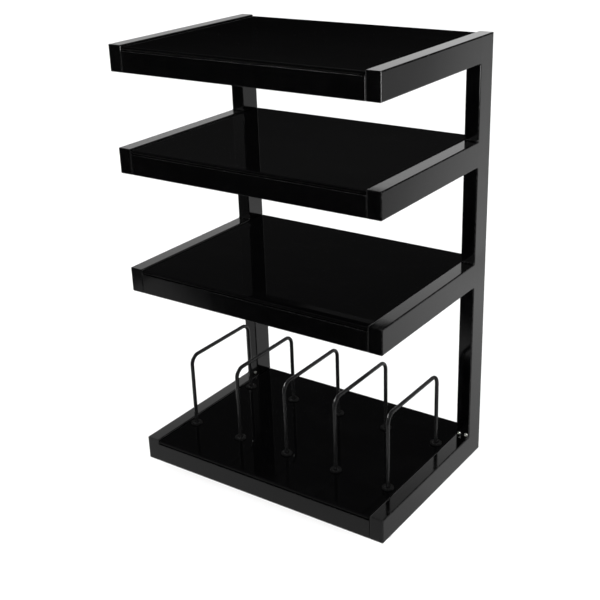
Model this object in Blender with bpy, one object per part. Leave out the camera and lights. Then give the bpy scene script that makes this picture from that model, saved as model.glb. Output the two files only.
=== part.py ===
"""Four-tier hi-fi rack: two E-shaped side frames of rectangular steel tube,
front and rear rails between their arms, four black glass shelves lying on the
rails, and five bent-rod record hoops standing in grommets in the lowest glass.

Metres, +Z up. The origin is on the floor under the middle of the rack, the
front is -Y, and left and right are those of a person who faces the front.
"""
from math import cos, pi, sin

import bmesh
import bpy
from mathutils import Vector

# ------------------------------------------------------------ driving sizes
WIDTH = 0.580                # outside of one side frame to the outside of the other
DEPTH = 0.400                # front ends of the arms to the backs of the uprights
RECORD_BAY = 0.337           # clear height, foot arm to middle arm
AMP_BAY = 0.194              # clear height, middle arm to upper arm
PLAYER_BAY = 0.144           # clear height, upper arm to top arm

TUBE_WIDTH = 0.030           # side frame tube, across the rack
ARM_HEIGHT = 0.050           # the same tube, height of an arm
UPRIGHT_DEPTH = 0.050        # the same tube, front to back of an upright
TUBE_WALL = 0.002
TUBE_CORNER = 0.003          # outside corner radius of the tube

RAIL_DROP = 0.010            # top of an arm to the top of a rail, which leaves the glass its bed
RAIL_DEPTH = 0.020
RAIL_WALL = 0.0015
RAIL_CORNER = 0.002

GLASS_THICKNESS = 0.006
GLASS_SIDE_GAP = 0.001       # glass to the arm beside it
GLASS_END_GAP = 0.001        # glass edge behind the front plane and inside the rear plane
GLASS_CORNER = 0.003
GLASS_ARRIS = 0.0006         # ground arris round both faces

STRIP_THICKNESS = 0.0009     # rubber seat strip between a rail and the glass
STRIP_WIDTH = 0.010
STRIP_END = 0.012            # the strip stops this far before each end of its rail
STRIP_CORNER = 0.0010
STRIP_ARRIS = 0.0002

HOOP_COUNT = 5
HOOP_PITCH = 0.120           # hoop to hoop across the rack
HOOP_SPAN = 0.195            # leg centre to leg centre
HOOP_RISE = 0.160            # glass to the centre of the top rod
HOOP_BEND = 0.020            # bend radius at the rod's centre
ROD_RADIUS = 0.004
ROD_TAIL = 0.004             # the leg ends this far under the glass

GROMMET_RADIUS = 0.012       # flange on top of the glass
GROMMET_RISE = 0.0035
GROMMET_DISH = 0.0014        # the crown falls this far to the rod
GROMMET_ROUND = 0.0018       # width of the crown's rounding, outside and inside
SLEEVE_RADIUS = 0.0065
LIP_RADIUS = 0.0095
LIP_THICKNESS = 0.0025
LIP_CHAMFER = 0.0006

GLIDE_LIFT = 0.003           # floor to the underside of a foot arm
GLIDE_RADIUS = 0.012
GLIDE_CHAMFER = 0.0010
GLIDE_STEM = 0.004
GLIDE_STEM_LENGTH = 0.0065
GLIDE_INSET = 0.030          # glide centre in from either end of a foot arm

SCREW_SPACING = 0.016
SCREW_RISE = 0.0045          # screw centre over the top of a foot arm
SCREW_HEAD = 0.004
SCREW_HEAD_HEIGHT = 0.0024
SCREW_RIM = 0.0006           # straight edge under the head's dome
SCREW_SHANK = 0.002
SCREW_LENGTH = 0.010

GAP = 0.0003                 # between pieces that touch
DRILL_OVERRUN = 0.002        # a drill starts and ends this far clear of the wall

CORNER_STEPS = 3             # facets in a tube's rounded corner
ROUND_STEPS = 16             # facets round a small turned piece
SCREW_STEPS = 12
ROD_STEPS = 12
BEND_STEPS = 7               # facets along a rod's bend
DOME_STEPS = 4               # facets from a screw head's crown to its rim

# ------------------------------------------------- sizes that follow from these
INNER_HALF = WIDTH / 2 - TUBE_WIDTH
TUBE_CENTRE = WIDTH / 2 - TUBE_WIDTH / 2
FRONT, REAR = -DEPTH / 2, DEPTH / 2
UPRIGHT_FRONT = REAR - UPRIGHT_DEPTH
RAIL_HEIGHT = ARM_HEIGHT - RAIL_DROP                 # their undersides are level

TIERS = {"base": GLIDE_LIFT + ARM_HEIGHT}            # tier name: top of its arms
for lower_tier, tier_name, clear in (("base", "middle", RECORD_BAY),
                                     ("middle", "upper", AMP_BAY),
                                     ("upper", "top", PLAYER_BAY)):
    TIERS[tier_name] = TIERS[lower_tier] + clear + ARM_HEIGHT


def rail_top(tier):
    return TIERS[tier] - RAIL_DROP


def glass_bottom(tier):
    return rail_top(tier) + GAP + STRIP_THICKNESS + GAP


def glass_top(tier):
    return glass_bottom(tier) + GLASS_THICKNESS


# ------------------------------------------------------------------- scene
for old in list(bpy.data.objects):
    bpy.data.objects.remove(old, do_unlink=True)

rack = bpy.data.objects.new("rack", None)
bpy.context.scene.collection.objects.link(rack)


def make_material(name, colour, roughness, metallic=0.0):
    material = bpy.data.materials.new(name)
    material.use_nodes = True
    shader = material.node_tree.nodes["Principled BSDF"]
    shader.inputs["Base Color"].default_value = (*colour, 1.0)
    shader.inputs["Roughness"].default_value = roughness
    shader.inputs["Metallic"].default_value = metallic
    return material


FRAME_LACQUER = make_material("frame_lacquer", (0.010, 0.010, 0.011), 0.12)
RAIL_LACQUER = make_material("rail_lacquer", (0.010, 0.010, 0.011), 0.14)
HOOP_LACQUER = make_material("hoop_lacquer", (0.012, 0.012, 0.013), 0.20)
BLACK_GLASS = make_material("black_glass", (0.006, 0.006, 0.007), 0.04)
GROMMET_PLASTIC = make_material("grommet_plastic", (0.016, 0.016, 0.017), 0.28)
STRIP_RUBBER = make_material("strip_rubber", (0.020, 0.020, 0.020), 0.80)
GLIDE_PLASTIC = make_material("glide_plastic", (0.025, 0.025, 0.026), 0.55)
SCREW_ZINC = make_material("screw_zinc", (0.78, 0.78, 0.76), 0.22, 1.0)


def add_object(name, bm, material, location=(0.0, 0.0, 0.0)):
    """Close off a bmesh as one shaded object under the rack's empty."""
    bmesh.ops.recalc_face_normals(bm, faces=bm.faces)
    mesh = bpy.data.meshes.new(name)
    bm.to_mesh(mesh)
    bm.free()
    mesh.shade_smooth()
    mesh.set_sharp_from_angle(angle=pi / 6)
    mesh.materials.append(material)
    obj = bpy.data.objects.new(name, mesh)
    obj.location = location
    obj.parent = rack
    bpy.context.scene.collection.objects.link(obj)
    return obj


def cut(obj, name, bm):
    """Take a helper shape, which isn't part of the rack, out of an object."""
    tool = add_object(name, bm, GLIDE_PLASTIC)
    tool.hide_render = True
    tool.display_type = 'WIRE'
    modifier = obj.modifiers.new(name, 'BOOLEAN')
    modifier.operation = 'DIFFERENCE'
    modifier.solver = 'EXACT'
    modifier.object = tool


# ------------------------------------------------------------ shape helpers
def rounded_rectangle(width, height, radius, steps=CORNER_STEPS):
    """Points (u, v) round a rectangle that is centred on the origin."""
    points = []
    for quadrant, (su, sv) in enumerate(((1, 1), (-1, 1), (-1, -1), (1, -1))):
        for step in range(steps + 1):
            angle = (quadrant + step / steps) * pi / 2
            points.append((su * (width / 2 - radius) + radius * cos(angle),
                           sv * (height / 2 - radius) + radius * sin(angle)))
    return points


def ring(bm, points, place):
    return [bm.verts.new(place(u, v)) for u, v in points]


def bridge(bm, first, second):
    count = len(first)
    for i in range(count):
        j = (i + 1) % count
        bm.faces.new((first[i], first[j], second[j], second[i]))


def tube(section, wall, corner, axes, start, end, closed_end=False):
    """Rectangular tube. Axes are the two section axes and the way it runs.

    Start and end give the distance along the run for a section point (u, v),
    so a mitred end is just a distance that changes with v. A closed end is a
    welded plate as thick as the wall.
    """
    width, height = section
    outer = rounded_rectangle(width, height, corner)
    inner = rounded_rectangle(width - 2 * wall, height - 2 * wall, corner - wall)
    u_axis, v_axis, run = (Vector(axis) for axis in axes)

    def placed(distance, inset=0.0):
        return lambda u, v: u * u_axis + v * v_axis + (distance(u, v) - inset) * run

    bm = bmesh.new()
    outer_start = ring(bm, outer, placed(start))
    outer_end = ring(bm, outer, placed(end))
    inner_start = ring(bm, inner, placed(start))
    inner_end = ring(bm, inner, placed(end, wall if closed_end else 0.0))
    bridge(bm, outer_start, outer_end)
    bridge(bm, inner_start, inner_end)
    bridge(bm, outer_start, inner_start)
    if closed_end:
        bm.faces.new(outer_end)
        bm.faces.new(inner_end)
    else:
        bridge(bm, outer_end, inner_end)
    return bm


def turned(profile, steps=ROUND_STEPS, closed=False):
    """Turn (radius, height) points about Z. A closed profile is a ring's section."""
    bm = bmesh.new()
    rows = []
    for radius, height in profile:
        if radius == 0.0:
            rows.append([bm.verts.new((0.0, 0.0, height))] * steps)
        else:
            rows.append([bm.verts.new((radius * cos(2 * pi * k / steps),
                                       radius * sin(2 * pi * k / steps), height))
                         for k in range(steps)])
    pairs = list(zip(rows, rows[1:] + rows[:1]))
    for low, high in pairs if closed else pairs[:-1]:
        for k in range(steps):
            corners = (low[k], low[(k + 1) % steps], high[(k + 1) % steps], high[k])
            bm.faces.new(list(dict.fromkeys(corners)))
    return bm


def drills(places, radius, low, high, run='Z'):
    """Cylinders for drilling, each from low to high along Z, or along Y."""
    bm = bmesh.new()
    for place in places:
        rims = []
        for distance in (low, high):
            rims.append([])
            for k in range(ROUND_STEPS):
                a = radius * cos(2 * pi * k / ROUND_STEPS)
                b = radius * sin(2 * pi * k / ROUND_STEPS)
                point = (place[0] + a, place[1] + b, distance) if run == 'Z' else \
                        (place[0] + a, distance, place[1] + b)
                rims[-1].append(bm.verts.new(point))
        bridge(bm, *rims)
        for rim in rims:
            bm.faces.new(rim)
    return bm


def at(distance):
    return lambda u, v: distance


# -------------------------------------------------------------- side frames
ARM_AXES = ((1, 0, 0), (0, 0, 1), (0, -1, 0))        # runs from the rear to the front
UPRIGHT_AXES = ((1, 0, 0), (0, 1, 0), (0, 0, 1))
ARM_SECTION = (TUBE_WIDTH, ARM_HEIGHT)
UPRIGHT_SECTION = (TUBE_WIDTH, UPRIGHT_DEPTH)
ARM_MITRE = UPRIGHT_DEPTH / ARM_HEIGHT               # run of the mitre for a unit of height
UPRIGHT_MITRE = ARM_HEIGHT / UPRIGHT_DEPTH
MITRE_GAP = 1.5 * GAP                                # along the upright, GAP across the cut
FRAME_BOTTOM, FRAME_TOP = GLIDE_LIFT, TIERS["top"]


def foot_rear(u, v):
    return (v + ARM_HEIGHT / 2) * ARM_MITRE


def top_rear(u, v):
    return (ARM_HEIGHT / 2 - v) * ARM_MITRE


def upright_foot(u, v):
    return FRAME_BOTTOM + (UPRIGHT_DEPTH / 2 - v) * UPRIGHT_MITRE + MITRE_GAP


def upright_head(u, v):
    return FRAME_TOP - (UPRIGHT_DEPTH / 2 - v) * UPRIGHT_MITRE - MITRE_GAP


ARMS = (("foot_arm", "base", foot_rear),
        ("middle_arm", "middle", at(UPRIGHT_DEPTH + GAP)),
        ("upper_arm", "upper", at(UPRIGHT_DEPTH + GAP)),
        ("top_arm", "top", top_rear))
GLIDE_YS = {"front": FRONT + GLIDE_INSET, "rear": REAR - GLIDE_INSET}

for side, x in (("left", -TUBE_CENTRE), ("right", TUBE_CENTRE)):
    for arm_name, tier_name, rear_end in ARMS:
        bm = tube(ARM_SECTION, TUBE_WALL, TUBE_CORNER, ARM_AXES,
                  rear_end, at(DEPTH), closed_end=True)
        arm = add_object(f"{side}_{arm_name}", bm, FRAME_LACQUER,
                         (x, REAR, TIERS[tier_name] - ARM_HEIGHT / 2))
        if arm_name == "foot_arm":
            places = [(x, y) for y in GLIDE_YS.values()]
            cut(arm, f"{side}_glide_drills",
                drills(places, GLIDE_STEM + GAP, FRAME_BOTTOM - DRILL_OVERRUN,
                       FRAME_BOTTOM + TUBE_WALL + DRILL_OVERRUN))

    upright = add_object(f"{side}_upright",
                         tube(UPRIGHT_SECTION, TUBE_WALL, TUBE_CORNER, UPRIGHT_AXES,
                              upright_foot, upright_head),
                         FRAME_LACQUER, (x, REAR - UPRIGHT_DEPTH / 2, 0.0))
    screw_z = TIERS["base"] + SCREW_RISE
    outward = 1 if x > 0 else -1
    screws = {"inner": x - outward * SCREW_SPACING / 2, "outer": x + outward * SCREW_SPACING / 2}
    cut(upright, f"{side}_screw_drills",
        drills([(sx, screw_z) for sx in screws.values()], SCREW_SHANK + GAP,
               UPRIGHT_FRONT - DRILL_OVERRUN, UPRIGHT_FRONT + TUBE_WALL + DRILL_OVERRUN,
               run='Y'))

    # round-headed screws low on the front of the upright, head to the front
    for place, sx in screws.items():
        dome = SCREW_HEAD_HEIGHT - SCREW_RIM
        arc = [step * pi / (2 * DOME_STEPS) for step in range(1, DOME_STEPS + 1)]
        profile = [(0.0, SCREW_HEAD_HEIGHT)]
        profile += [(SCREW_HEAD * sin(a), SCREW_RIM + dome * cos(a)) for a in arc]
        profile += [(SCREW_HEAD, 0.0), (SCREW_SHANK, 0.0),
                    (SCREW_SHANK, -SCREW_LENGTH), (0.0, -SCREW_LENGTH)]
        screw = add_object(f"{side}_{place}_foot_screw", turned(profile, SCREW_STEPS),
                           SCREW_ZINC, (sx, UPRIGHT_FRONT - GAP, screw_z))
        screw.rotation_euler = (pi / 2, 0.0, 0.0)

    # push-in glides under the foot arm
    for end_name, y in GLIDE_YS.items():
        top = GLIDE_LIFT - GAP
        tip = top + GLIDE_STEM_LENGTH
        profile = [(0.0, 0.0), (GLIDE_RADIUS - GLIDE_CHAMFER, 0.0),
                   (GLIDE_RADIUS, GLIDE_CHAMFER), (GLIDE_RADIUS, top), (GLIDE_STEM, top),
                   (GLIDE_STEM, tip - GLIDE_CHAMFER), (GLIDE_STEM - GLIDE_CHAMFER, tip),
                   (0.0, tip)]
        add_object(f"{side}_{end_name}_glide", turned(profile), GLIDE_PLASTIC, (x, y, 0.0))

# ------------------------------------------- rails, seat strips and glass
RAIL_AXES = ((0, 1, 0), (0, 0, 1), (1, 0, 0))
RAIL_HALF = INNER_HALF - GAP
GLASS_X = 2 * (INNER_HALF - GLASS_SIDE_GAP)
GLASS_Y = DEPTH - 2 * GLASS_END_GAP
HOOP_XS = [(i - (HOOP_COUNT - 1) / 2) * HOOP_PITCH for i in range(HOOP_COUNT)]
LEG_PLACES = [(x, y) for x in HOOP_XS for y in (-HOOP_SPAN / 2, HOOP_SPAN / 2)]


def slab(width, depth, height, corner, arris, steps=3):
    """Flat plate standing on z = 0, its edges broken by a small arris."""
    bm = bmesh.new()
    rims = []
    for inset, z in ((arris, 0.0), (0.0, arris), (0.0, height - arris), (arris, height)):
        outline = rounded_rectangle(width - 2 * inset, depth - 2 * inset, corner - inset, steps)
        rims.append([bm.verts.new((u, v, z)) for u, v in outline])
    for low, high in zip(rims, rims[1:]):
        bridge(bm, low, high)
    bm.faces.new(rims[0])
    bm.faces.new(rims[-1])
    return bm


for tier in TIERS:
    for end_name, y in (("front", FRONT + RAIL_DEPTH / 2), ("rear", REAR - RAIL_DEPTH / 2)):
        add_object(f"{end_name}_rail_{tier}",
                   tube((RAIL_DEPTH, RAIL_HEIGHT), RAIL_WALL, RAIL_CORNER, RAIL_AXES,
                        at(-RAIL_HALF), at(RAIL_HALF)),
                   RAIL_LACQUER, (0.0, y, rail_top(tier) - RAIL_HEIGHT / 2))
        add_object(f"{end_name}_seat_strip_{tier}",
                   slab(2 * (RAIL_HALF - STRIP_END), STRIP_WIDTH, STRIP_THICKNESS,
                        STRIP_CORNER, STRIP_ARRIS, steps=1),
                   STRIP_RUBBER, (0.0, y, rail_top(tier) + GAP))
    glass = add_object(f"glass_shelf_{tier}",
                       slab(GLASS_X, GLASS_Y, GLASS_THICKNESS, GLASS_CORNER, GLASS_ARRIS),
                       BLACK_GLASS, (0.0, 0.0, glass_bottom(tier)))
    if tier == "base":
        cut(glass, "grommet_drills",
            drills(LEG_PLACES, SLEEVE_RADIUS + GAP,
                   glass_bottom(tier) - DRILL_OVERRUN, glass_top(tier) + DRILL_OVERRUN))


# ------------------------------------------------- record hoops and grommets
def hoop_path():
    """Centre line of a hoop in the Y-Z plane, from one leg's end to the other's."""
    half, top = HOOP_SPAN / 2, HOOP_RISE
    arc = [step * pi / (2 * BEND_STEPS) for step in range(BEND_STEPS + 1)]
    front = [(-half, -GLASS_THICKNESS - ROD_TAIL)]
    front += [(-half + HOOP_BEND * (1 - cos(a)), top - HOOP_BEND * (1 - sin(a))) for a in arc]
    return front + [(-y, z) for y, z in reversed(front)]


def rod(path, radius, steps=ROD_STEPS):
    """Round rod along a flat path, each section square to the path."""
    bm = bmesh.new()
    rings = []
    points = [Vector((0.0, y, z)) for y, z in path]
    for i, point in enumerate(points):
        before = (point - points[i - 1]).normalized() if i else None
        after = (points[i + 1] - point).normalized() if i + 1 < len(points) else None
        run = ((before or after) + (after or before)).normalized()
        side = Vector((1.0, 0.0, 0.0))
        up = side.cross(run)
        rings.append([bm.verts.new(point + radius * (cos(2 * pi * k / steps) * side
                                                     + sin(2 * pi * k / steps) * up))
                      for k in range(steps)])
    for first, second in zip(rings, rings[1:]):
        bridge(bm, first, second)
    bm.faces.new(rings[0])
    bm.faces.new(rings[-1])
    return bm


def grommet_section():
    """Ring section of a grommet, z = 0 on top of the glass."""
    bore = ROD_RADIUS + GAP
    lip_top = -GLASS_THICKNESS - GAP
    lip_low = lip_top - LIP_THICKNESS
    dish = GROMMET_RISE - GROMMET_DISH
    crown = [(GROMMET_RADIUS - GROMMET_ROUND * (1 - cos(a)), dish + GROMMET_DISH * sin(a))
             for a in (0.0, pi / 4, pi / 2)]
    return [(bore, lip_low), (LIP_RADIUS - LIP_CHAMFER, lip_low),
            (LIP_RADIUS, lip_low + LIP_CHAMFER), (LIP_RADIUS, lip_top),
            (SLEEVE_RADIUS, lip_top), (SLEEVE_RADIUS, GAP), (GROMMET_RADIUS, GAP), *crown,
            ((GROMMET_RADIUS + bore) / 2, GROMMET_RISE), (bore + GROMMET_ROUND, dish), (bore, dish)]


for number, x in enumerate(HOOP_XS, start=1):
    add_object(f"record_hoop_{number}", rod(hoop_path(), ROD_RADIUS), HOOP_LACQUER,
               (x, 0.0, glass_top("base")))
    for end_name, y in (("front", -HOOP_SPAN / 2), ("rear", HOOP_SPAN / 2)):
        add_object(f"hoop_{number}_{end_name}_grommet", turned(grommet_section(), closed=True),
                   GROMMET_PLASTIC, (x, y, glass_top("base")))
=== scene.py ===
from math import cos, pi, radians, sin

import bmesh
import bpy
from mathutils import Matrix, Vector


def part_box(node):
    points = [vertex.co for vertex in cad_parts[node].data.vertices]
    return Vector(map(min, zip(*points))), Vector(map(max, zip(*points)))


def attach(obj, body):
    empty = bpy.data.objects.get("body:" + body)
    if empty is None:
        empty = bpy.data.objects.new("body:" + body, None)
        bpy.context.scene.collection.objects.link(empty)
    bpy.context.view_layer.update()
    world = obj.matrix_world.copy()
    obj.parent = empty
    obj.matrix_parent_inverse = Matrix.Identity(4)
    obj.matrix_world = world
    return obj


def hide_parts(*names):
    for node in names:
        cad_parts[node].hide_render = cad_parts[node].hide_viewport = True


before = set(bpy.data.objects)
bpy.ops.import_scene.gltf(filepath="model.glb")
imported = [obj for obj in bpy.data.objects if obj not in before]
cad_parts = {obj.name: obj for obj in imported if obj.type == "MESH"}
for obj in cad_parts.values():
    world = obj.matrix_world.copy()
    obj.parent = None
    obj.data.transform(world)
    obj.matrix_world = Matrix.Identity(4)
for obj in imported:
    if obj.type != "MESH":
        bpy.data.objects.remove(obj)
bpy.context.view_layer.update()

# The camera stands in front of the rack and to its right, higher than the top
# glass, and looks down at the head of the record bay. Its small shift sets the
# rack a little to the right of the middle of the view and above it.
CAMERA_PLACE = (1.1258, -1.6013, 1.2004)
CAMERA_HEADING, CAMERA_PITCH, CAMERA_ROLL = 0.6146, 1.1747, -0.0334
LENS, SENSOR = 63.56, 36.0
SHIFT_ACROSS, SHIFT_UP = -0.0117, -0.0183
FAR_CLIP = 60.0
camera = bpy.data.objects.new("camera", bpy.data.cameras.new("camera"))
camera.data.lens = LENS
camera.data.sensor_width = SENSOR
camera.data.shift_x, camera.data.shift_y = SHIFT_ACROSS, SHIFT_UP
camera.data.clip_end = FAR_CLIP
camera.matrix_world = (Matrix.Translation(CAMERA_PLACE)
                       @ Matrix.Rotation(CAMERA_HEADING, 4, 'Z')
                       @ Matrix.Rotation(CAMERA_PITCH, 4, 'X')
                       @ Matrix.Rotation(CAMERA_ROLL, 4, 'Z'))
bpy.context.scene.collection.objects.link(camera)
bpy.context.scene.camera = camera

# ------------------------------------------------------------- side frames
# Each side is one E-shaped weldment of 50 x 30 mm rectangular steel tube: an
# upright with four arms, mitred at the head and the foot. The welds are ground
# flush, the arm ends are plated shut, and the whole is stove-lacquered black.
TUBE_EDGE = 0.0025           # rounding along the tube's four edges
END_EDGE = 0.0010            # where the end plates and the mitres are ground
WELD_FILLET = 0.0030         # left in the corners between upright and arms
EDGE_STEPS = 5
HOLD = 0.00004               # a narrow flat beside each rounding keeps the broad faces flat
EDGE_BEND = radians(8)       # facets that turn this much are part of a rounding
SHARP = radians(40)          # facets that turn more meet in a crisp edge


def side_outline(corners, inset, convex, concave, steps=EDGE_STEPS):
    """Points round a square-cornered outline, each corner rounded, moved inwards by inset."""
    points = []
    count = len(corners)
    for i, corner in enumerate(corners):
        run_in = (corner - corners[i - 1]).normalized()
        run_out = (corners[(i + 1) % count] - corner).normalized()
        in_left = Vector((-run_in.y, run_in.x))
        out_left = Vector((-run_out.y, run_out.x))
        place = corner + inset * (in_left + out_left)
        turns_left = run_in.cross(run_out) > 0
        radius = max(convex - inset, HOLD) if turns_left else concave + inset
        towards = 1 if turns_left else -1
        start = place - radius * run_in
        centre = start + towards * radius * in_left
        arm = start - centre
        points.append(start - HOLD * run_in)
        for step in range(steps + 1):
            angle = towards * step / steps * pi / 2
            points.append(centre + Vector((arm.x * cos(angle) - arm.y * sin(angle),
                                           arm.x * sin(angle) + arm.y * cos(angle))))
        points.append(place + radius * run_out + HOLD * run_out)
    return points


def edge_rows(low, high, edge, steps=EDGE_STEPS):
    """(inset, place) pairs that round both ends of a run from low to high."""
    first = [(edge + HOLD, low)]
    for step in range(steps + 1):
        angle = step / steps * pi / 2
        first.append((edge * (1 - sin(angle)), low + edge * (1 - cos(angle))))
    first.append((0.0, low + edge + HOLD))
    return first + [(inset, low + high - place) for inset, place in reversed(first)]


def loft(name, rows, ring_closed=False):
    """A mesh through rows of points, joined row to row.

    It is shut at both ends, or its last row joins the first. Its "edge"
    attribute is 1 on the roundings and 0 on the flats.
    """
    bm = bmesh.new()
    rings = [[bm.verts.new(point) for point in row] for row in rows]
    pairs = list(zip(rings, rings[1:] + rings[:1]))
    for first, second in pairs if ring_closed else pairs[:-1]:
        for i in range(len(first)):
            j = (i + 1) % len(first)
            bm.faces.new((first[i], first[j], second[j], second[i]))
    if not ring_closed:
        bm.faces.new(rings[0])
        bm.faces.new(rings[-1])
    bmesh.ops.recalc_face_normals(bm, faces=bm.faces)
    bends = []
    for vert in bm.verts:
        turns = [edge.calc_face_angle(0.0) for edge in vert.link_edges]
        bends.append(max(turn for turn in turns + [0.0] if turn < SHARP))
    mesh = bpy.data.meshes.new(name)
    bm.to_mesh(mesh)
    bm.free()
    edge = mesh.attributes.new("edge", 'FLOAT', 'POINT')
    edge.data.foreach_set("value", [min(bend / EDGE_BEND, 1.0) for bend in bends])
    mesh.shade_smooth()
    mesh.set_sharp_from_angle(angle=SHARP)
    return mesh


def add_piece(name, mesh, finish, slot, *nodes):
    """Hang a finished mesh on the rack in place of the CAD nodes it stands for."""
    piece = bpy.data.objects.new(name, mesh)
    mesh.materials.append(finish)
    bpy.context.scene.collection.objects.link(piece)
    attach(piece, "root")
    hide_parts(*nodes)
    return piece


class Value:
    """A number in a material. Sums on it add their Math nodes."""

    def __init__(self, socket):
        self.socket = socket

    def maths(self, operation, *terms):
        tree = self.socket.id_data
        node = tree.nodes.new("ShaderNodeMath")
        node.operation = operation
        for entry, term in zip(node.inputs, terms):
            if isinstance(term, Value):
                tree.links.new(term.socket, entry)
            else:
                entry.default_value = term
        return Value(node.outputs[0])

    def __add__(self, other):
        return self.maths('ADD', self, other)

    def __radd__(self, other):
        return self.maths('ADD', other, self)

    def __sub__(self, other):
        return self.maths('SUBTRACT', self, other)

    def __rsub__(self, other):
        return self.maths('SUBTRACT', other, self)

    def __mul__(self, other):
        return self.maths('MULTIPLY', self, other)

    def __rmul__(self, other):
        return self.maths('MULTIPLY', other, self)

    def __truediv__(self, other):
        return self.maths('DIVIDE', self, other)

    def __abs__(self):
        return self.maths('ABSOLUTE', self)

    def least(self, other):
        return self.maths('MINIMUM', self, other)


class Wiring:
    """The nodes of a material, a lamp or the surroundings, and their links."""

    def __init__(self, owner):
        owner.use_nodes = True
        self.tree = owner.node_tree

    def node(self, kind, settings=None, entries=None, output=0):
        """Add a node: its settings first, then the values or links of its sockets."""
        node = self.tree.nodes.new("ShaderNode" + kind)
        for name, setting in (settings or {}).items():
            if name == "stops":
                ramp = node.color_ramp.elements
                while len(ramp) < len(setting):
                    ramp.new(0.5)
                for element, (position, level) in zip(ramp, setting):
                    element.position = position
                    element.color = (level, level, level, 1.0)
            else:
                setattr(node, name, setting)
        self.feed(node, entries or {})
        if output is None:
            return [Value(socket) for socket in node.outputs]
        return Value(node.outputs[output])

    def feed(self, node, entries):
        for name, entry in entries.items():
            if isinstance(entry, Value):
                self.tree.links.new(entry.socket, node.inputs[name])
            else:
                node.inputs[name].default_value = entry

    def ramp(self, value, *stops):
        """The level at a value, read between (value, level) stops from 0 to 1."""
        return self.node("ValToRGB", {"stops": stops}, {"Fac": value})

    def rise(self, value, low, high):
        """0 up to low, 1 from high on."""
        return self.ramp(value, (low, 0.0), (high, 1.0))

    def split(self, vector):
        """The three parts of a vector."""
        return self.node("SeparateXYZ", None, {0: vector}, output=None)


class Finish(Wiring):
    """A material under construction, round one Principled shader."""

    FIRST_COLOUR, SECOND_COLOUR, MIXED_COLOUR = 6, 7, 2        # a Mix node's sockets for colours

    def __init__(self, name, metallic=0.0, ior=1.5):
        self.material = bpy.data.materials.new(name)
        super().__init__(self.material)
        self.shader = self.tree.nodes["Principled BSDF"]
        self.feed(self.shader, {"Metallic": metallic, "IOR": ior})
        self.place = self.node("TexCoord", output="Object")

    def noise(self, per_metre, detail=2.0, roughness=0.5, stretch=(1.0, 1.0, 1.0)):
        """Noise of so many features to the metre, about 0 to 1."""
        place = self.node("VectorMath", {"operation": 'MULTIPLY'}, {0: self.place, 1: stretch})
        return self.node("TexNoise", None, {"Vector": place, "Scale": per_metre,
                                            "Detail": detail, "Roughness": roughness})

    def edge(self):
        """1 on the roundings of a mesh, 0 on its flats."""
        return self.node("Attribute", {"attribute_name": "edge"}, output="Fac")

    def mix(self, mask, first, second):
        """The first colour where mask is 0, the second where it is 1."""
        first, second = (colour if isinstance(colour, Value) else (*colour, 1.0)
                         for colour in (first, second))
        return self.node("Mix", {"data_type": 'RGBA'},
                         {"Factor": mask, self.FIRST_COLOUR: first, self.SECOND_COLOUR: second},
                         output=self.MIXED_COLOUR)

    def relief(self, height, depth):
        """Bump the surface by a height of 0 to 1, so many metres deep."""
        return self.node("Bump", None, {"Height": height, "Distance": depth, "Strength": 1.0})

    def finish(self, colour, roughness, normal):
        self.feed(self.shader, {"Base Color": colour, "Roughness": roughness, "Normal": normal})
        return self.material


def grey(level):
    """A colour with no hue."""
    return (level, level, level)


LACQUER_TONE = (0.0005, 0.0005, 0.0006)
LACQUER_DEPTH = 0.00003
# the last grey is painted on the roundings: partly edge wear, partly a painted highlight along the
# edges
HAZE_GREY, SPECK_GREY, EDGE_WEAR_AND_HIGHLIGHT_GREY = grey(0.06), grey(0.05), grey(0.03)
WELD_REACH, WELD_RISE = 0.004, 0.8     # how far a ground weld shows, and its part in the relief


def black_lacquer(name, tone, weld_at=None, satin=0.0, wear_and_highlight=0.35, depth=LACQUER_DEPTH):
    """Stoved gloss black: a trace of orange peel, a little haze, thinner on the edges, where a paler
    grey is painted in patches that are partly wear and partly a painted highlight.

    Where weld_at gives a place along the arms, a ground weld shows there.
    """
    lacquer = Finish(name)
    cloud = lacquer.noise(9.0, detail=3.0)
    haze = lacquer.rise(lacquer.noise(38.0, detail=5.0, roughness=0.6), 0.42, 0.78)
    peel = lacquer.noise(420.0)
    grain = lacquer.noise(2600.0, detail=1.0)
    speck = lacquer.rise(lacquer.noise(900.0, detail=0.0), 0.78, 0.82)
    # painted highlight: patches of paler grey on the roundings, partly thin lacquer at the edges and
    # partly standing in for the bright lines the edges catch
    edge_wear_and_highlight = wear_and_highlight * lacquer.edge() * lacquer.rise(lacquer.noise(160.0, detail=3.0), 0.40, 0.66)
    colour = lacquer.mix(cloud, tuple(0.7 * level for level in tone),
                         tuple(1.3 * level for level in tone))
    colour = lacquer.mix(0.015 * haze, colour, HAZE_GREY)
    colour = lacquer.mix(0.1 * speck, colour, SPECK_GREY)
    colour = lacquer.mix(edge_wear_and_highlight, colour, EDGE_WEAR_AND_HIGHLIGHT_GREY)
    roughness = 0.055 + satin + 0.05 * cloud + 0.05 * haze + 0.15 * speck + 0.3 * edge_wear_and_highlight
    height = 0.75 * peel + 0.10 * grain + 0.9 * cloud
    if weld_at is not None:
        _, y, _ = lacquer.split(lacquer.place)
        height = height + WELD_RISE * lacquer.ramp(abs(y - weld_at) / WELD_REACH,
                                                   (0.0, 1.0), (1.0, 0.0))
    return lacquer.finish(colour, roughness, lacquer.relief(height, depth))


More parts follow.
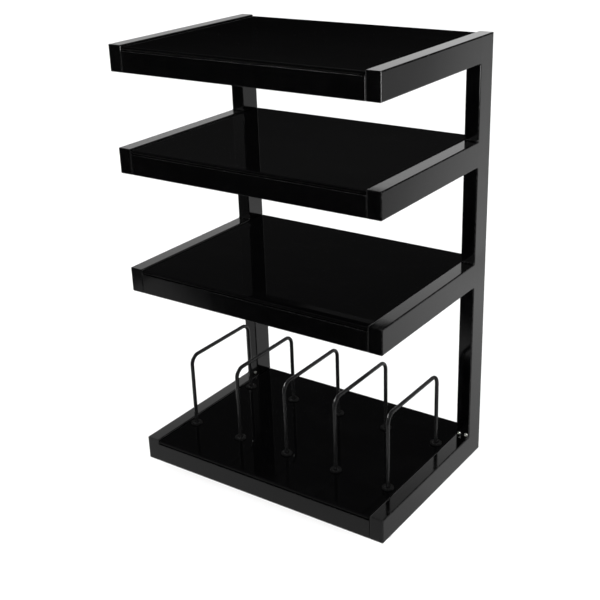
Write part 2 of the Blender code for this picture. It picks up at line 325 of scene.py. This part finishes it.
ARM_TIERS = ("foot", "middle", "upper", "top")
side_frames = []
for side in ("left", "right"):
    upright_low, upright_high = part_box(f"{side}_upright")
    arms = [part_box(f"{side}_{tier}_arm") for tier in ARM_TIERS]
    (foot_low, foot_high), (_, top_high) = arms[0], arms[-1]
    # the outline of the E, seen from the side, from its rear foot up and round
    outline = [Vector((upright_high.y, foot_low.z)), Vector((upright_high.y, top_high.z))]
    for (low, high), (_, next_high) in zip(arms[::-1], arms[-2::-1] + [arms[0]]):
        outline += [Vector((foot_low.y, high.z)), Vector((foot_low.y, low.z))]
        if low.z > foot_low.z:
            outline += [Vector((upright_low.y, low.z)), Vector((upright_low.y, next_high.z))]
    rows = [[(x, y, z) for y, z in side_outline(outline, inset, END_EDGE, WELD_FILLET)]
            for inset, x in edge_rows(foot_low.x, foot_high.x, TUBE_EDGE)]
    finish = black_lacquer(f"{side}_frame_lacquer", LACQUER_TONE, weld_at=upright_low.y)
    side_frames.append(add_piece(f"{side}_side_frame", loft(f"{side}_side_frame", rows), finish,
                                 "frame_lacquer", f"{side}_upright",
                                 *(f"{side}_{tier}_arm" for tier in ARM_TIERS)))

# ------------------------------------------------------------------ glides
# Four black plastic discs that keep the foot arms off the floor. Each is
# moulded with a stem that pushes into a hole in the underside of the tube.
GLIDE_EDGE = 0.0008
STEM_RADIUS, STEM_TIP, STEM_TAPER = 0.004, 0.003, 0.001
UNDER_TUBE = 0.0001          # the disc's top stops this far short of the tube
TURNED_SIDES = 40
SMALLEST = 0.00001           # the radius a turned shape closes to on its own centre line


def circle(radius, sides=TURNED_SIDES):
    """Points round the origin."""
    radius = max(radius, SMALLEST)
    return [(radius * cos(2 * pi * k / sides), radius * sin(2 * pi * k / sides))
            for k in range(sides)]


def turned(name, centre, profile, ring_closed=False):
    """A mesh turned about the upright line through centre, from (radius, z) points."""
    rows = [[(centre[0] + a, centre[1] + b, z) for a, b in circle(radius)] for radius, z in profile]
    return loft(name, rows, ring_closed)


def quarter(centre, radius, start, steps=5):
    """Points of a quarter circle in a profile, from the angle start, in quarter turns."""
    return [(centre[0] + radius * cos((start + step / steps) * pi / 2),
             centre[1] + radius * sin((start + step / steps) * pi / 2))
            for step in range(steps + 1)]


def moulded_black(name, tone, roughness):
    """Injection-moulded plastic: finely spark-eroded, with a few scuffs."""
    plastic = Finish(name, ior=1.46)
    grain = plastic.noise(2400.0, detail=3.0, roughness=0.6)
    scratches = plastic.noise(150.0, detail=5.0, roughness=0.7, stretch=(1.0, 0.25, 1.0))
    scuff = plastic.rise(scratches, 0.55, 0.72)
    colour = plastic.mix(0.4 * scuff, tone, tuple(2.5 * level for level in tone))
    return plastic.finish(colour, roughness + 0.15 * grain + 0.12 * scuff,
                          plastic.relief(grain, 0.00004))


tube_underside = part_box("left_foot_arm")[0].z
glide_plastic = moulded_black("glide_plastic", (0.016, 0.016, 0.017), 0.45)
for side in ("left", "right"):
    for end in ("front", "rear"):
        node = f"{side}_{end}_glide"
        low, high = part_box(node)
        radius = (high.x - low.x) / 2
        disc_top = tube_underside - UNDER_TUBE
        profile = [(0.0, low.z), (radius - GLIDE_EDGE, low.z)]
        profile += quarter((radius - GLIDE_EDGE, low.z + GLIDE_EDGE), GLIDE_EDGE, -1)
        profile += [(radius, disc_top), (STEM_RADIUS, disc_top),
                    (STEM_RADIUS, high.z - STEM_TAPER), (STEM_TIP, high.z), (0.0, high.z)]
        centre = ((low.x + high.x) / 2, (low.y + high.y) / 2)
        add_piece(f"{node}_moulded", turned(node, centre, profile), glide_plastic,
                  "glide_plastic", node)

# ------------------------------------------------------------- foot screws
# Two zinc-plated pan-head screws side by side, low on the front of each
# upright. They are driven with a cross-head driver into tapped holes.
HEAD_RIM = 0.0006            # the straight part of the head, under its dome
DOME_STEPS = 8
SHANK_RADIUS = 0.002
RECESS_HALF, RECESS_WIDTH, RECESS_DEPTH = 0.0021, 0.0010, 0.0015


def carve(piece, cutter):
    """Cut one mesh out of a piece and keep the result as the piece's own mesh."""
    tool = bpy.data.objects.new("cutter", cutter)
    bpy.context.scene.collection.objects.link(tool)
    modifier = piece.modifiers.new("cut", 'BOOLEAN')
    modifier.operation = 'DIFFERENCE'
    modifier.solver = 'EXACT'
    modifier.object = tool
    graph = bpy.context.evaluated_depsgraph_get()
    mesh = bpy.data.meshes.new_from_object(piece.evaluated_get(graph))
    piece.modifiers.clear()
    piece.data = mesh
    bpy.data.objects.remove(tool)
    mesh.set_sharp_from_angle(angle=SHARP)


def recess_blade(place, turn):
    """One wing of the driver's cross, turned about the screw's own line."""
    bm = bmesh.new()
    bmesh.ops.create_cube(bm, size=1.0)
    bmesh.ops.scale(bm, vec=(2 * RECESS_HALF, 2 * RECESS_DEPTH, RECESS_WIDTH), verts=bm.verts)
    bmesh.ops.rotate(bm, matrix=Matrix.Rotation(turn, 3, 'Y'), verts=bm.verts)
    bmesh.ops.translate(bm, vec=place, verts=bm.verts)
    blade = bpy.data.meshes.new("blade")
    bm.to_mesh(blade)
    bm.free()
    return blade


def bright_zinc():
    """Electroplated zinc: brushed by the tumbling, with a dull bloom in places."""
    zinc = Finish("screw_zinc", metallic=1.0)
    brushing = zinc.noise(700.0, detail=3.0, roughness=0.6, stretch=(1.0, 1.0, 0.25))
    bloom = zinc.rise(zinc.noise(260.0, detail=4.0), 0.40, 0.70)
    colour = zinc.mix(bloom, (0.80, 0.80, 0.78), (0.60, 0.60, 0.57))
    return zinc.finish(colour, 0.16 + 0.16 * brushing + 0.10 * bloom,
                       zinc.relief(brushing, 0.00002))


screw_zinc = bright_zinc()
screws = []
for side in ("left", "right"):
    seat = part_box(f"{side}_upright")[0].y
    for place in ("inner", "outer"):
        node = f"{side}_{place}_foot_screw"
        low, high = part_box(node)
        centre = (low + high) / 2
        head = (high.x - low.x) / 2
        dome_rise = seat - low.y - HEAD_RIM
        profile = []
        for step in range(DOME_STEPS + 1):
            angle = step / DOME_STEPS * pi / 2
            profile.append((head * sin(angle), HEAD_RIM + dome_rise * cos(angle)))
        profile += [(head, 0.0), (SHANK_RADIUS, 0.0), (SHANK_RADIUS, seat - high.y)]
        rows = [[(centre.x + a, seat - height, centre.z + b) for a, b in circle(radius)]
                for radius, height in profile]
        screw = add_piece(f"{node}_plated", loft(node, rows), screw_zinc, "screw_zinc", node)
        for turn in (pi / 4, 3 * pi / 4):
            carve(screw, recess_blade((centre.x, low.y, centre.z), turn))
        screws.append(screw)

# ------------------------------------------------------------------- rails
# Eight rails of 40 x 20 mm steel tube, one across the front and one across the
# rear of each tier, welded between the arms and lacquered with the frames.
# Their tops lie 10 mm under the tops of the arms and make a bed for the glass.
RAIL_EDGE = 0.0012
RAIL_END = 0.0009            # rounded before welding, which leaves a fine groove beside the arm
TIERS = ("base", "middle", "upper", "top")


def bar(name, box, across, edge, end, steps=EDGE_STEPS):
    """A straight bar across the rack, between two x values, its edges and ends rounded."""
    low, high = box
    section = [Vector((high.y, low.z)), Vector((high.y, high.z)),
               Vector((low.y, high.z)), Vector((low.y, low.z))]
    rows = [[(x, y, z) for y, z in side_outline(section, inset, edge, 0.0, steps)]
            for inset, x in edge_rows(*across, end, steps)]
    return loft(name, rows)


rail_lacquer = black_lacquer("rail_lacquer", LACQUER_TONE)
between_arms = (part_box("left_top_arm")[1].x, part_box("right_top_arm")[0].x)
rails = {}
for end in ("front", "rear"):
    for tier in TIERS:
        node = f"{end}_rail_{tier}"
        mesh = bar(node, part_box(node), between_arms, RAIL_EDGE, RAIL_END)
        rails[end, tier] = add_piece(f"{node}_lacquered", mesh, rail_lacquer,
                                     "rail_lacquer", node)

# ------------------------------------------------------------- seat strips
# Self-adhesive rubber strips along the tops of the rails. The glass lies on
# them, which stops it sliding and rattling.
STRIP_STEPS = 3


def soft_rubber():
    """Extruded black rubber: fine pores and a grey bloom."""
    rubber = Finish("strip_rubber")
    pores = rubber.noise(1800.0, detail=3.0, roughness=0.6)
    bloom = rubber.rise(rubber.noise(60.0, detail=4.0), 0.4, 0.7)
    return rubber.finish(rubber.mix(0.6 * bloom, grey(0.010), (0.025, 0.024, 0.023)),
                         0.72 + 0.12 * pores, rubber.relief(pores, 0.00006))


strip_rubber = soft_rubber()
for end in ("front", "rear"):
    for tier in TIERS:
        node = f"{end}_seat_strip_{tier}"
        low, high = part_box(node)
        edge = (high.z - low.z) / 3
        mesh = bar(node, (low, high), (low.x, high.x), edge, edge, STRIP_STEPS)
        add_piece(f"{node}_rubber", mesh, strip_rubber, "strip_rubber", node)

# ----------------------------------------------------------- glass shelves
# Four 6 mm plates of toughened black glass with flat-polished edges and ground
# arrises. They lie loose between the arms. The lowest is drilled for the hoops.
GLASS_CORNER = 0.0030
ARRIS = 0.0024
ARRIS_STEPS = 4
GLASS_SPECULAR = 0.2         # the shelves mirror less than clear glass


def black_glass():
    """Body-tinted black glass, wiped clean but not quite: faint smears and dust."""
    glass = Finish("black_glass", ior=1.52)
    glass.feed(glass.shader, {"Specular IOR Level": GLASS_SPECULAR})
    smear = glass.rise(glass.noise(7.0, detail=6.0, roughness=0.65, stretch=(1.0, 2.2, 1.0)),
                       0.50, 0.80)
    wipe = glass.noise(60.0, stretch=(0.15, 1.0, 1.0))
    dust = glass.rise(glass.noise(1500.0, detail=0.0), 0.80, 0.84)
    colour = glass.mix(0.015 * smear, (0.0008, 0.0008, 0.0009), grey(0.05))
    colour = glass.mix(0.04 * dust, colour, grey(0.20))
    roughness = 0.012 + 0.045 * smear * wipe + 0.10 * dust + 0.45 * glass.edge()
    return glass.finish(colour, roughness, glass.relief(glass.noise(5.0, detail=1.0), 0.00006))


glass_finish = black_glass()
shelves = {}
for tier in TIERS:
    node = f"glass_shelf_{tier}"
    low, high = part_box(node)
    plate = [Vector((high.x, low.y)), Vector((high.x, high.y)),
             Vector((low.x, high.y)), Vector((low.x, low.y))]
    rows = [[(x, y, z) for x, y in side_outline(plate, inset, GLASS_CORNER, 0.0)]
            for inset, z in edge_rows(low.z, high.z, ARRIS, ARRIS_STEPS)]
    shelves[tier] = add_piece(f"{node}_polished", loft(node, rows), glass_finish,
                              "black_glass", node)

# ---------------------------------------------------------------- grommets
# Ten moulded black rings with a lip below the glass and a flange above it.
# They push into the drilled holes, and the legs of the hoops push into them.
HOOP_COUNT = 5
HOOP_ENDS = ("front", "rear")
SLEEVE_RADIUS = 0.0065
HOLE_CLEAR = 0.0002          # the drilled hole is wider than the sleeve by this much all round
FLANGE_ROUND = 0.0014
LIP_SHORT, LIP_CHAMFER = 0.0025, 0.0006
WELL_RIM, WELL_ROUND = 0.0022, 0.0008          # a shallow well round the rod, in the flange
WELL_WALL, WELL_DEPTH, WELL_CHAMFER = 0.0016, 0.0022, 0.0006
BORE_CLEAR = 0.00005
DRILL_PAST = 0.002
rod_low, rod_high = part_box("record_hoop_1")
ROD_RADIUS = (rod_high.x - rod_low.x) / 2
glass_low, glass_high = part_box("glass_shelf_base")
grommet_plastic = moulded_black("grommet_plastic", grey(0.005), 0.20)
for number in range(1, HOOP_COUNT + 1):
    for end in HOOP_ENDS:
        node = f"hoop_{number}_{end}_grommet"
        low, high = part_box(node)
        centre = ((low.x + high.x) / 2, (low.y + high.y) / 2)
        flange = (high.x - low.x) / 2
        bore = ROD_RADIUS + BORE_CLEAR
        well = ROD_RADIUS + WELL_RIM
        lip = flange - LIP_SHORT
        profile = [(bore, low.z), (lip - LIP_CHAMFER, low.z), (lip, low.z + LIP_CHAMFER),
                   (lip, glass_low.z), (SLEEVE_RADIUS, glass_low.z),
                   (SLEEVE_RADIUS, glass_high.z), (flange, glass_high.z),
                   (flange, high.z - FLANGE_ROUND)]
        profile += quarter((flange - FLANGE_ROUND, high.z - FLANGE_ROUND), FLANGE_ROUND, 0)
        profile += quarter((well + WELL_ROUND, high.z - WELL_ROUND), WELL_ROUND, 1, 4)
        profile += [(well, high.z - WELL_WALL), (well - WELL_CHAMFER, high.z - WELL_DEPTH),
                    (bore, high.z - WELL_DEPTH)]
        add_piece(f"{node}_moulded", turned(node, centre, profile, ring_closed=True),
                  grommet_plastic, "grommet_plastic", node)
        hole = turned("hole", centre, [(SLEEVE_RADIUS + HOLE_CLEAR, glass_low.z - DRILL_PAST),
                                       (SLEEVE_RADIUS + HOLE_CLEAR, glass_high.z + DRILL_PAST)])
        carve(shelves["base"], hole)

# ------------------------------------------------------------ record hoops
# Five hoops of 8 mm steel rod, each bent twice on a former and lacquered
# black. Record sleeves stand on edge between them on the lowest glass.
ROD_SIDES = 28
BEND_STEPS = 18
HOOP_BEND = 0.020
BELOW_BEND = 0.002           # one row of the leg lies this far below the bend
HOOP_TONE = (0.0085, 0.0085, 0.0087)
HOOP_DEPTH = 0.000012
hoops = []
hoop_lacquer = black_lacquer("hoop_lacquer", HOOP_TONE, satin=0.05, wear_and_highlight=0.0, depth=HOOP_DEPTH)
for number in range(1, HOOP_COUNT + 1):
    node = f"record_hoop_{number}"
    low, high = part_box(node)
    x = (low.x + high.x) / 2
    front_leg, rear_leg = low.y + ROD_RADIUS, high.y - ROD_RADIUS
    middle, half = (front_leg + rear_leg) / 2, (rear_leg - front_leg) / 2
    top_line = high.z - ROD_RADIUS
    # (y from the middle, z, heading): the rod heads up at 0 and to the rear at a quarter turn
    path = [(-half, low.z, 0.0), (-half, top_line - HOOP_BEND - BELOW_BEND, 0.0)]
    for step in range(BEND_STEPS + 1):
        angle = step / BEND_STEPS * pi / 2
        path.append((-half + HOOP_BEND * (1 - cos(angle)),
                     top_line - HOOP_BEND * (1 - sin(angle)), angle))
    path += [(-y, z, pi - heading) for y, z, heading in reversed(path)]
    rows = [[(x + a, middle + y - b * cos(heading), z + b * sin(heading))
             for a, b in circle(ROD_RADIUS, ROD_SIDES)] for y, z, heading in path]
    hoops.append(add_piece(f"{node}_bent", loft(node, rows), hoop_lacquer, "hoop_lacquer", node))

# ------------------------------------------------------------------- floor
# A plain pale paper floor that curves up into a wall all round. The gloss
# doesn't mirror it. It mirrors the sheets of the next section instead.
FLOOR_RADIUS, WALL_HEIGHT, WALL_CURVE = 20.0, 8.0, 5.0
FLOOR_CENTRE = 0.001
FLOOR_SIDES, CURVE_STEPS = 64, 8
PAPER_SPECULAR = 0.1
floor_profile = [(FLOOR_CENTRE, 0.0), (FLOOR_RADIUS - WALL_CURVE, 0.0)]
for step in range(1, CURVE_STEPS + 1):
    angle = step / CURVE_STEPS * pi / 2
    floor_profile.append((FLOOR_RADIUS - WALL_CURVE + WALL_CURVE * sin(angle),
                          WALL_CURVE * (1 - cos(angle))))
floor_profile.append((FLOOR_RADIUS, WALL_HEIGHT))
bm = bmesh.new()
rings = [[bm.verts.new((a, b, z)) for a, b in circle(radius, FLOOR_SIDES)]
         for radius, z in floor_profile]
for first, second in zip(rings, rings[1:]):
    for k in range(FLOOR_SIDES):
        j = (k + 1) % FLOOR_SIDES
        bm.faces.new((first[k], first[j], second[j], second[k]))
bm.faces.new(rings[0])
bmesh.ops.recalc_face_normals(bm, faces=bm.faces)
floor_mesh = bpy.data.meshes.new("floor")
bm.to_mesh(floor_mesh)
bm.free()
floor_mesh.shade_smooth()
paper = Finish("pale_paper")
paper.feed(paper.shader, {"Specular IOR Level": PAPER_SPECULAR})
fibre = paper.noise(900.0, detail=4.0, roughness=0.6)
floor_mesh.materials.append(paper.finish(paper.mix(paper.noise(0.8), grey(0.90), grey(0.94)),
                                         0.85 + 0.1 * fibre, paper.relief(fibre, 0.00005)))
floor = bpy.data.objects.new("floor", floor_mesh)
bpy.context.scene.collection.objects.link(floor)
floor.visible_glossy = False

# ------------------------------------------------------------------ sheets
# Two glowing sheets that only the gloss sees: one lies on the floor and one
# stands to the right. They keep the rack's right side grey and shaded and its
# fronts nearly black, which one even floor would not.
SHEET_HALF, SHEET_DROP = 6.0, 0.002
SLANT = 0.65                 # left of the middle, the lit part of the floor sheet slants forward
LIT_FROM, LIT_RUN = -1.0, 2.0          # where its fade starts from the front, and how far it runs
LEFT_FROM, LEFT_RUN = -1.1, 0.2        # the same, from the left
BESIDE_FROM, BESIDE_AHEAD, BESIDE_FADE, BESIDE_LEVEL = 0.25, -0.3, 0.4, 0.8
POOL_PLACE, POOL_RADIUS, POOL_LEVEL = (0.68, 0.98, 0.0), 0.8, 0.33
CARD_X, CARD_FRONT, CARD_REAR, CARD_HEAD = 0.8, 0.2, 1.35, 0.8
CARD_MIDDLE, CARD_HIGH, CARD_LEAN = 0.66, 0.65, 0.55       # where its level is read from, and its slope


def glowing_sheet(name, corners, level):
    """A flat sheet that shows in reflections and nowhere else."""
    mesh = bpy.data.meshes.new(name)
    mesh.from_pydata(corners, [], [(0, 1, 2, 3)])
    glow = Finish(name)
    glow.feed(glow.shader, {"Base Color": (0.0, 0.0, 0.0, 1.0), "Roughness": 1.0,
                            "Specular IOR Level": 0.0, "Emission Strength": 1.0,
                            "Emission Color": level(glow)})
    mesh.materials.append(glow.material)
    sheet = bpy.data.objects.new(name, mesh)
    bpy.context.scene.collection.objects.link(sheet)
    sheet.visible_camera = False
    sheet.visible_diffuse = False
    sheet.visible_shadow = False


def floor_level(glow):
    """Dim in front and to the left, lit at the rear, at the left front and in a pool."""
    x, y, _ = glow.split(glow.place)
    lit = glow.ramp((y - SLANT * x.least(0.0) - LIT_FROM) / LIT_RUN,
                    (0.200, 0.015), (0.262, 0.03), (0.290, 0.15), (0.320, 0.30), (0.400, 0.38),
                    (0.475, 0.42), (0.510, 0.50), (0.550, 0.52))
    lit = lit.least(glow.ramp((x - LEFT_FROM) / LEFT_RUN, (0.45, 0.06), (0.70, 0.6)))
    reach = glow.node("VectorMath", {"operation": 'DISTANCE'}, {0: glow.place, 1: POOL_PLACE},
                      output="Value")
    pool = glow.ramp(reach, (0.0, POOL_LEVEL), (POOL_RADIUS, 0.0))
    fade = ((0.0, 0.0), (1.0, BESIDE_LEVEL))
    beside = glow.ramp((y - x - BESIDE_FROM) / BESIDE_FADE, *fade)
    beside = beside.least(glow.ramp((BESIDE_AHEAD - y) / BESIDE_FADE, *fade))
    return lit + pool + beside


def card_level(glow):
    """Brighter to the rear and downwards."""
    _, y, z = glow.split(glow.place)
    return glow.ramp((y - CARD_MIDDLE) + CARD_LEAN * (CARD_HIGH - z),
                     (0.00, 0.39), (0.16, 0.41), (0.24, 0.45), (0.32, 0.52), (0.41, 0.61),
                     (0.57, 0.71), (0.78, 0.82), (0.90, 0.88))


glowing_sheet("floor_sheet",
              [(across * SHEET_HALF, along * SHEET_HALF, -SHEET_DROP)
               for across, along in ((-1, -1), (1, -1), (1, 1), (-1, 1))], floor_level)
glowing_sheet("side_card", [(CARD_X, CARD_FRONT, 0.0), (CARD_X, CARD_REAR, 0.0),
                            (CARD_X, CARD_REAR, CARD_HEAD), (CARD_X, CARD_FRONT, CARD_HEAD)],
              card_level)

# -------------------------------------------------------------------- room
# The dim room above the paper, as the glass mirrors it: black behind the
# shelves near the horizon, and a dark grey higher up.
world = bpy.data.worlds.new("studio")
bpy.context.scene.world = world
room = Wiring(world)
_, _, height = room.split(room.node("TexCoord", output="Generated"))
room.feed(room.tree.nodes["Background"],
          {"Color": room.ramp(height, (0.15, 0.003), (0.28, 0.027), (0.60, 0.030))})

# --------------------------------------------------------------------- sky
# One broad soft light overhead, for the floor and for all of the rack but its
# tubes, which show only what they mirror. Only the small parts cast a shadow.
SKY_STRENGTH = 3.6
SKY_SPREAD = radians(110)
SKY_TILT = (radians(10), radians(6), 0.0)


def group(name, pieces, left_out=False):
    """A set of pieces for one lamp to light, or to leave out."""
    members = bpy.data.collections.new(name)
    for piece in pieces:
        members.objects.link(piece)
    if left_out:
        for member in members.collection_objects:
            member.light_linking.link_state = 'EXCLUDE'
    return members


tubes = side_frames + list(rails.values())
glass = list(shelves.values())
sky = bpy.data.objects.new("overhead_light", bpy.data.lights.new("overhead_light", 'SUN'))
sky.data.energy = SKY_STRENGTH
sky.data.angle = SKY_SPREAD
sky.rotation_euler = SKY_TILT
sky.visible_glossy = False
bpy.context.scene.collection.objects.link(sky)
sky.light_linking.receiver_collection = group("not_lacquered", tubes, left_out=True)
sky.light_linking.blocker_collection = group("see_through", tubes + hoops + glass, left_out=True)

# ------------------------------------------------------------------ panels
# Flat lamps, each for chosen pieces, that show as reflections in the gloss:
# tall panels for the arms and uprights, a strip for the bright line down the
# edges, and smaller lamps for the front rails, the hoops' bends and the tops.
PANEL_REACH, PANEL_WIDTH, PANEL_FOOT, PANEL_HEAD = 4.0, 2.4, 1.0, 3.4
REAR_LEFT, REAR_RIGHT, FRONT_LEFT, FRONT_RIGHT = -51.5, -17.5, 217, 125       # headings, degrees
FRONT_FOOT, FRONT_HEAD, FRONT_LEVEL = 1.4, 2.5, 0.5
STRIP_REACH, STRIP_WIDTH, STRIP_FOOT, STRIP_HEAD, STRIP_LEVEL = 1.6, 0.6, 0.45, 1.9, 12.0
RAIL_LAMP_Y, RAIL_LAMP_Z, RAIL_LAMP_LENGTH, RAIL_LAMP_LEVEL = 0.3, 1.9, 1.0, 11.0
BEND_LAMP_PLACE, BEND_LAMP_SIZE, BEND_LAMP_LEVEL = (-3.0, -0.2, 1.28), (0.45, 1.6), 36.0
TOP_LAMP_PLACE, TOP_LAMP_SIZE, TOP_LAMP_LEVEL = (0.1, 0.0, 2.6), (1.6, 1.6), 1.2
FACING_DOWN, FACING_RIGHT = (0.0, 0.0, 0.0), (0.0, -pi / 2, 0.0)


def even(level):
    """Stops for a lamp of one level all over."""
    return ((0.0, level), (1.0, level))


def lit_panel(name, pieces, place, turn, size, stops):
    """A flat lamp for some pieces only. Its stops give its level from foot to head."""
    width, height = size
    panel = bpy.data.objects.new(name, bpy.data.lights.new(name, 'AREA'))
    panel.data.shape = 'RECTANGLE'
    panel.data.size, panel.data.size_y = width, height
    panel.data.energy = pi * width * height
    panel.location = place
    panel.rotation_euler = turn
    panel.visible_camera = False
    lamp = Wiring(panel.data)
    _, up, _ = lamp.split(lamp.node("NewGeometry", output="Parametric"))
    lamp.feed(lamp.tree.nodes["Emission"], {"Color": lamp.ramp(up, *stops)})
    bpy.context.scene.collection.objects.link(panel)
    panel.light_linking.receiver_collection = pieces


def standing_panel(name, pieces, heading, reach, width, foot, head, stops):
    """Upright, facing the rack, at a compass heading from it."""
    turn = radians(heading)
    place = (reach * sin(turn), reach * cos(turn), (foot + head) / 2)
    lit_panel(name, pieces, place, (pi / 2, 0.0, pi - turn), (width, head - foot), stops)


lacquered = group("lacquered", tubes + hoops + screws)
standing_panel("rear_left_panel", lacquered, REAR_LEFT, PANEL_REACH, PANEL_WIDTH,
               PANEL_FOOT, PANEL_HEAD,
               ((0.19, 0.62), (0.29, 0.84), (0.40, 0.68), (0.54, 0.46), (0.9, 0.2)))
standing_panel("rear_right_panel", lacquered, REAR_RIGHT, PANEL_REACH, PANEL_WIDTH,
               PANEL_FOOT, PANEL_HEAD,
               ((0.25, 1.05), (0.31, 0.87), (0.46, 0.84), (0.54, 0.68), (0.62, 0.56),
                (0.71, 0.40), (0.80, 0.25)))
standing_panel("front_left_panel", lacquered, FRONT_LEFT, PANEL_REACH, PANEL_WIDTH,
               FRONT_FOOT, FRONT_HEAD, even(FRONT_LEVEL))
standing_panel("front_right_strip", group("framework", tubes + screws), FRONT_RIGHT,
               STRIP_REACH, STRIP_WIDTH, STRIP_FOOT, STRIP_HEAD, even(STRIP_LEVEL))
front_rails = group("front_rails", [rails["front", tier] for tier in TIERS])
for name, x, width in (("left_lamp", -0.84, 0.10), ("right_lamp", -0.55, 0.30)):
    lit_panel(name, front_rails, (x, RAIL_LAMP_Y, RAIL_LAMP_Z), FACING_DOWN,
              (width, RAIL_LAMP_LENGTH), even(RAIL_LAMP_LEVEL))
lit_panel("bend_lamp", group("hoop_group", hoops), BEND_LAMP_PLACE, FACING_RIGHT,
          BEND_LAMP_SIZE, even(BEND_LAMP_LEVEL))
lit_panel("overhead_panel", group("tops", tubes + hoops + glass), TOP_LAMP_PLACE, FACING_DOWN,
          TOP_LAMP_SIZE, even(TOP_LAMP_LEVEL))

bpy.context.scene.view_settings.view_transform = 'Standard'
